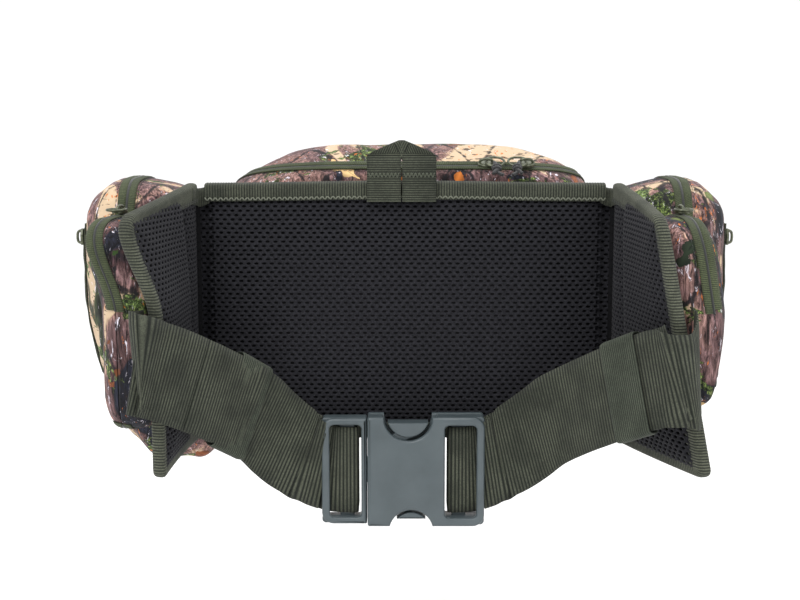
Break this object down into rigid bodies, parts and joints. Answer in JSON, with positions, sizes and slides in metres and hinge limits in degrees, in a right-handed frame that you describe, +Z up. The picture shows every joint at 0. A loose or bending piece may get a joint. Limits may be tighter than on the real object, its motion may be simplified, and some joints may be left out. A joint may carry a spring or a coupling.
{
  "type": "waist pack",
  "caption": "Camouflage hunting waist pack with padded back and hip wings, zipped pouches, carry handle and a webbing belt with side-release buckle.",
  "frame": {"origin": "middle of the back panel's wearer-side face", "axes": "+X to the right seen from the wearer's side, +Y away from the wearer into the bag, +Z up"},
  "size_m": [0.3874, 0.2167, 0.2145],
  "materials": {
    "air_mesh": "matte",
    "foam": "matte",
    "stiffener_plastic": "matte",
    "camo_fabric": "matte",
    "grosgrain": "matte",
    "webbing": "matte",
    "elastic": "matte",
    "zip_tape": "matte",
    "zip_metal": "satin",
    "pull_cord": "matte",
    "buckle_plastic": "satin"
  },
  "bodies": {
    "pack": {"back_air_mesh": "air_mesh", "back_foam_pad": "foam", "back_stiffener_sheet": "stiffener_plastic", "top_binding": "grosgrain", "bottom_binding": "grosgrain", "handle_sewn_ends": "webbing", "main_bag_shell": "camo_fabric", "main_zip_tape_near": "zip_tape", "left_pouch_shell": "camo_fabric", "left_pouch_zip_tape": "zip_tape", "right_pouch_shell": "camo_fabric", "right_pouch_zip_tape": "zip_tape"},
    "handle": {"handle_loop": "webbing"},
    "lid": {"main_lid": "camo_fabric", "main_zip_tape_far": "zip_tape"},
    "main_slider_1": {"main_zip_slider_1": "zip_metal"},
    "main_slider_2": {"main_zip_slider_2": "zip_metal"},
    "main_ring_1": {"main_zip_ring_1": "zip_metal", "main_zip_cord_1": "pull_cord"},
    "main_ring_2": {"main_zip_ring_2": "zip_metal", "main_zip_cord_2": "pull_cord"},
    "left_pouch_lid": {"left_pouch_cover": "camo_fabric", "left_pouch_outer_zip_tape": "zip_tape"},
    "left_pouch_zip": {"left_pouch_slider": "zip_metal"},
    "left_pouch_pull": {"left_pouch_zip_ring": "zip_metal"},
    "left_pouch_outer_zip": {"left_pouch_outer_slider": "zip_metal"},
    "left_wing": {"left_wing_air_mesh": "air_mesh", "left_wing_foam_pad": "foam", "left_wing_cloth": "camo_fabric", "left_wing_binding": "grosgrain", "left_wing_pocket_shell": "camo_fabric", "left_wing_pocket_zip_tape": "zip_tape", "left_belt_anchor": "webbing"},
    "left_wing_pocket_lid": {"left_wing_pocket_cover": "camo_fabric"},
    "left_wing_pocket_zip": {"left_wing_pocket_slider": "zip_metal"},
    "left_wing_pocket_pull": {"left_wing_pocket_zip_ring": "zip_metal"},
    "left_belt": {"left_belt_strap": "webbing", "buckle_male_frame": "buckle_plastic"},
    "left_keeper": {"left_belt_keeper": "elastic"},
    "right_pouch_lid": {"right_pouch_cover": "camo_fabric", "right_pouch_outer_zip_tape": "zip_tape"},
    "right_pouch_zip": {"right_pouch_slider": "zip_metal"},
    "right_pouch_pull": {"right_pouch_zip_ring": "zip_metal"},
    "right_pouch_outer_zip": {"right_pouch_outer_slider": "zip_metal"},
    "right_wing": {"right_wing_air_mesh": "air_mesh", "right_wing_foam_pad": "foam", "right_wing_cloth": "camo_fabric", "right_wing_binding": "grosgrain", "right_wing_pocket_shell": "camo_fabric", "right_wing_pocket_zip_tape": "zip_tape", "right_belt_anchor": "webbing"},
    "right_wing_pocket_lid": {"right_wing_pocket_cover": "camo_fabric"},
    "right_wing_pocket_zip": {"right_wing_pocket_slider": "zip_metal"},
    "right_wing_pocket_pull": {"right_wing_pocket_zip_ring": "zip_metal"},
    "right_belt": {"right_belt_strap": "webbing", "buckle_female_housing": "buckle_plastic"},
    "right_keeper": {"right_belt_keeper": "elastic"},
    "upper_prong": {"buckle_upper_prong": "buckle_plastic"},
    "lower_prong": {"buckle_lower_prong": "buckle_plastic"}
  },
  "joints": [
    {"name": "handle_fold", "type": "hinge", "parent": "pack", "child": "handle", "pos_m": [-0.002, -0.0035, 0.073], "axis": [1, 0, 0], "range_deg": [-35, 70]},
    {"name": "lid_open", "type": "hinge", "parent": "pack", "child": "lid", "pos_m": [0, 0.105, 0.06017], "axis": [-1, 0, 0], "range_deg": [0, 80]},
    {"name": "main_slider_1_travel", "type": "slide", "parent": "pack", "child": "main_slider_1", "axis": [1, 0, 0], "range_m": [-0.118, 0]},
    {"name": "main_slider_2_travel", "type": "slide", "parent": "pack", "child": "main_slider_2", "axis": [1, 0, 0], "range_m": [0, 0.007]},
    {"name": "main_ring_1_lift", "type": "hinge", "parent": "main_slider_1", "child": "main_ring_1", "pos_m": [0.047, 0.02098, 0.08342], "axis": [0, -0.8762, -0.4819], "range_deg": [0, 100]},
    {"name": "main_ring_2_lift", "type": "hinge", "parent": "main_slider_2", "child": "main_ring_2", "pos_m": [0.07, 0.02098, 0.08342], "axis": [0, 0.8762, 0.4819], "range_deg": [0, 100]},
    {"name": "left_pouch_open", "type": "hinge", "parent": "pack", "child": "left_pouch_lid", "pos_m": [-0.16018, 0, -0.0845], "axis": [0, -1, 0], "range_deg": [0, 60]},
    {"name": "left_pouch_slider_travel", "type": "slide", "parent": "pack", "child": "left_pouch_zip", "axis": [0, 0, 1], "range_m": [-0.058, 0.036]},
    {"name": "left_pouch_pull_lift", "type": "hinge", "parent": "left_pouch_zip", "child": "left_pouch_pull", "pos_m": [-0.16, 0.00805, 0.006], "axis": [-1, 0, 0], "range_deg": [0, 45]},
    {"name": "left_pouch_outer_slider_travel", "type": "slide", "parent": "left_pouch_lid", "child": "left_pouch_outer_zip", "axis": [0, 0, 1], "range_m": [-0.072, 0]},
    {"name": "left_wing_spread", "type": "hinge", "parent": "pack", "child": "left_wing", "pos_m": [-0.1195, 0.005, 0], "axis": [0, 0, -1], "range_deg": [0, 15], "deforming": ["buckle_upper_prong", "buckle_lower_prong"]},
    {"name": "left_wing_pocket_open", "type": "hinge", "parent": "left_wing", "child": "left_wing_pocket_lid", "pos_m": [-0.16057, -0.07675, 0], "axis": [0, 0, 1], "range_deg": [0, 70]},
    {"name": "left_wing_pocket_slider_travel", "type": "slide", "parent": "left_wing", "child": "left_wing_pocket_zip", "axis": [-0.2079, -0.9781, 0], "range_m": [-0.005, 0.017]},
    {"name": "left_wing_pocket_pull_lift", "type": "hinge", "parent": "left_wing_pocket_zip", "child": "left_wing_pocket_pull", "pos_m": [-0.15239, -0.03913, 0.06095], "axis": [-0.9781, 0.2079, 0], "range_deg": [0, 100]},
    {"name": "left_belt_bend", "type": "hinge", "parent": "left_wing", "child": "left_belt", "pos_m": [-0.14112, -0.09673, -0.012], "axis": [0, 0, -1], "range_deg": [-15, 0]},
    {"name": "left_keeper_travel", "type": "slide", "parent": "left_belt", "child": "left_keeper", "axis": [0.559, 0.6632, -0.4977], "range_m": [-0.008, 0.001]},
    {"name": "right_pouch_open", "type": "hinge", "parent": "pack", "child": "right_pouch_lid", "pos_m": [0.16018, 0, -0.0845], "axis": [0, 1, 0], "range_deg": [0, 60]},
    {"name": "right_pouch_slider_travel", "type": "slide", "parent": "pack", "child": "right_pouch_zip", "axis": [0, 0, 1], "range_m": [-0.058, 0.036]},
    {"name": "right_pouch_pull_lift", "type": "hinge", "parent": "right_pouch_zip", "child": "right_pouch_pull", "pos_m": [0.16, 0.00805, 0.006], "axis": [-1, 0, 0], "range_deg": [0, 45]},
    {"name": "right_pouch_outer_slider_travel", "type": "slide", "parent": "right_pouch_lid", "child": "right_pouch_outer_zip", "axis": [0, 0, 1], "range_m": [-0.072, 0]},
    {"name": "right_wing_spread", "type": "hinge", "parent": "pack", "child": "right_wing", "pos_m": [0.1195, 0.005, 0], "axis": [0, 0, 1], "range_deg": [0, 15]},
    {"name": "right_wing_pocket_open", "type": "hinge", "parent": "right_wing", "child": "right_wing_pocket_lid", "pos_m": [0.16057, -0.07675, 0], "axis": [0, 0, -1], "range_deg": [0, 70]},
    {"name": "right_wing_pocket_slider_travel", "type": "slide", "parent": "right_wing", "child": "right_wing_pocket_zip", "axis": [0.2079, -0.9781, 0], "range_m": [-0.005, 0.017]},
    {"name": "right_wing_pocket_pull_lift", "type": "hinge", "parent": "right_wing_pocket_zip", "child": "right_wing_pocket_pull", "pos_m": [0.15239, -0.03913, 0.06095], "axis": [-0.9781, -0.2079, 0], "range_deg": [0, 100]},
    {"name": "right_belt_bend", "type": "hinge", "parent": "right_wing", "child": "right_belt", "pos_m": [0.14112, -0.09673, -0.012], "axis": [0, 0, 1], "range_deg": [-15, 0]},
    {"name": "right_keeper_travel", "type": "slide", "parent": "right_belt", "child": "right_keeper", "axis": [-0.5555, 0.7316, -0.3951], "range_m": [-0.006, 0.006]},
    {"name": "upper_prong_press", "type": "hinge", "parent": "left_belt", "child": "upper_prong", "pos_m": [-0.02085, -0.0205, -0.076], "axis": [0, 1, 0], "range_deg": [0, 5], "stiffness_Nm_per_rad": 0.6},
    {"name": "lower_prong_press", "type": "hinge", "parent": "left_belt", "child": "lower_prong", "pos_m": [-0.02085, -0.0205, -0.1], "axis": [0, -1, 0], "range_deg": [0, 5], "stiffness_Nm_per_rad": 0.6}
  ],
  "couplings": [
    {"joint": "right_wing_spread", "follows": "left_wing_spread", "ratio": 1},
    {"joint": "left_belt_bend", "follows": "left_wing_spread", "ratio": -1},
    {"joint": "right_belt_bend", "follows": "left_wing_spread", "ratio": -1}
  ]
}
